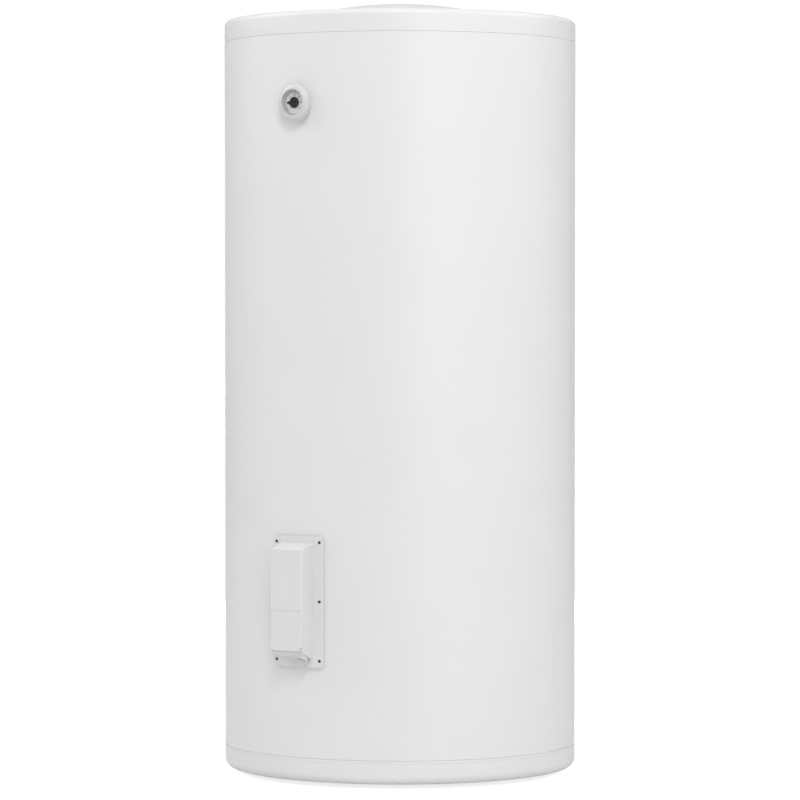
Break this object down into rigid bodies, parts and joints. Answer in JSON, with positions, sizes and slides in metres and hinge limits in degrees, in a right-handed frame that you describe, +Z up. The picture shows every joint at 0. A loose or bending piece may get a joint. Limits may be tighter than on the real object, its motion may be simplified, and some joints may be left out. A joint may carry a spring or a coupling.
{
  "type": "tank water heater",
  "caption": "Floor-standing cylindrical tank water heater with a white steel jacket, domed top cover, thermometer, screwed service cover with flap, rear pipe connections and levelling feet.",
  "frame": {"origin": "centre of the base, on the floor", "axes": "+Z up; the service cover and thermometer face -Y and the water connections face +Y"},
  "size_m": [0.581, 0.65, 1.2665],
  "materials": {
    "jacket_enamel": "satin",
    "cover_plastic": "satin",
    "service_plastic": "satin",
    "vessel_steel": "satin",
    "galvanised_steel": "satin",
    "dark_screws": "satin",
    "foam": "matte",
    "gasket_rubber": "matte",
    "grommet_plastic": "satin",
    "connection_brass": "satin",
    "copper": "satin",
    "magnesium": "matte",
    "cold_blue": "satin",
    "hot_red": "satin",
    "neutral_grey": "satin",
    "foot_plastic": "matte",
    "bezel_plastic": "gloss",
    "dial_face": "matte",
    "pointer_black": "satin",
    "clear_window": "gloss",
    "knob_plastic": "satin",
    "bakelite": "satin",
    "terminal_white": "satin",
    "wire_insulation": "satin"
  },
  "bodies": {
    "root": {"jacket": "jacket_enamel", "top_cover": "cover_plastic", "bottom_cover": "cover_plastic", "tank_shell": "vessel_steel", "tank_top_head": "vessel_steel", "tank_bottom_head": "vessel_steel", "cold_nipple": "connection_brass", "recirculation_nipple": "connection_brass", "hot_nipple": "connection_brass", "cold_rosette": "cold_blue", "recirculation_rosette": "neutral_grey", "hot_rosette": "hot_red", "cold_diffuser": "terminal_white", "hot_pickup": "terminal_white", "anode_socket": "vessel_steel", "anode_seal": "gasket_rubber", "anode_plug": "connection_brass", "magnesium_anode": "magnesium", "foam_insulation": "foam", "top_insulation_disc": "foam", "bottom_insulation_pad": "foam", "support_ring": "galvanised_steel", "foot_flange": "galvanised_steel", "foot_nuts": "galvanised_steel", "thermometer_bezel": "bezel_plastic", "thermometer_housing": "pointer_black", "thermometer_movement": "connection_brass", "thermometer_dial": "dial_face", "thermometer_lens": "clear_window", "thermometer_clip": "galvanised_steel", "sensor_pocket": "vessel_steel", "thermometer_capillary": "copper", "heater_socket": "vessel_steel", "heater_seal": "gasket_rubber", "heater_plug": "connection_brass", "heating_elements": "copper", "thermostat_pocket": "copper", "component_bracket": "galvanised_steel", "bracket_studs": "galvanised_steel", "thermostat_body": "bakelite", "thermostat_capillary": "copper", "terminal_block": "terminal_white", "heater_wires": "wire_insulation", "service_cover": "service_plastic", "cover_gasket": "gasket_rubber", "cover_screws": "dark_screws", "cable_grommet": "grommet_plastic"},
    "pointer": {"thermometer_pointer": "pointer_black", "pointer_shaft": "galvanised_steel"},
    "flap": {"access_flap": "service_plastic"},
    "knob": {"thermostat_knob": "knob_plastic", "thermostat_stem": "galvanised_steel"},
    "foot_1": {"foot_pad_1": "foot_plastic"},
    "stud_1": {"foot_stud_1": "galvanised_steel"},
    "foot_2": {"foot_pad_2": "foot_plastic"},
    "stud_2": {"foot_stud_2": "galvanised_steel"},
    "foot_3": {"foot_pad_3": "foot_plastic"},
    "stud_3": {"foot_stud_3": "galvanised_steel"}
  },
  "joints": [
    {"name": "pointer_turn", "type": "hinge", "parent": "root", "child": "pointer", "pos_m": [0, -0.3, 1.0915], "axis": [0, 1, 0], "range_deg": [-45, 225]},
    {"name": "flap_swing", "type": "hinge", "parent": "root", "child": "flap", "pos_m": [0, -0.3226, 0.2218], "axis": [1, 0, 0], "range_deg": [0, 100]},
    {"name": "knob_turn", "type": "hinge", "parent": "root", "child": "knob", "pos_m": [0, -0.31, 0.25], "axis": [0, 1, 0], "range_deg": [0, 270]},
    {"name": "foot_1_travel", "type": "slide", "parent": "root", "child": "foot_1", "axis": [0, 0, -1], "range_m": [0, 0.015]},
    {"name": "foot_1_screw", "type": "hinge", "parent": "foot_1", "child": "stud_1", "pos_m": [0, 0.168, 0.03], "axis": [0, 0, -1], "range_deg": [-1, 3601]},
    {"name": "foot_2_travel", "type": "slide", "parent": "root", "child": "foot_2", "axis": [0, 0, -1], "range_m": [0, 0.015]},
    {"name": "foot_2_screw", "type": "hinge", "parent": "foot_2", "child": "stud_2", "pos_m": [-0.14549, -0.084, 0.03], "axis": [0, 0, -1], "range_deg": [-1, 3601]},
    {"name": "foot_3_travel", "type": "slide", "parent": "root", "child": "foot_3", "axis": [0, 0, -1], "range_m": [0, 0.015]},
    {"name": "foot_3_screw", "type": "hinge", "parent": "foot_3", "child": "stud_3", "pos_m": [0.14549, -0.084, 0.03], "axis": [0, 0, -1], "range_deg": [-1, 3601]}
  ],
  "couplings": [
    {"joint": "foot_1_screw", "follows": "foot_1_travel", "rad_per_m": 4188.8},
    {"joint": "foot_2_screw", "follows": "foot_2_travel", "rad_per_m": 4188.8},
    {"joint": "foot_3_screw", "follows": "foot_3_travel", "rad_per_m": 4188.8}
  ]
}
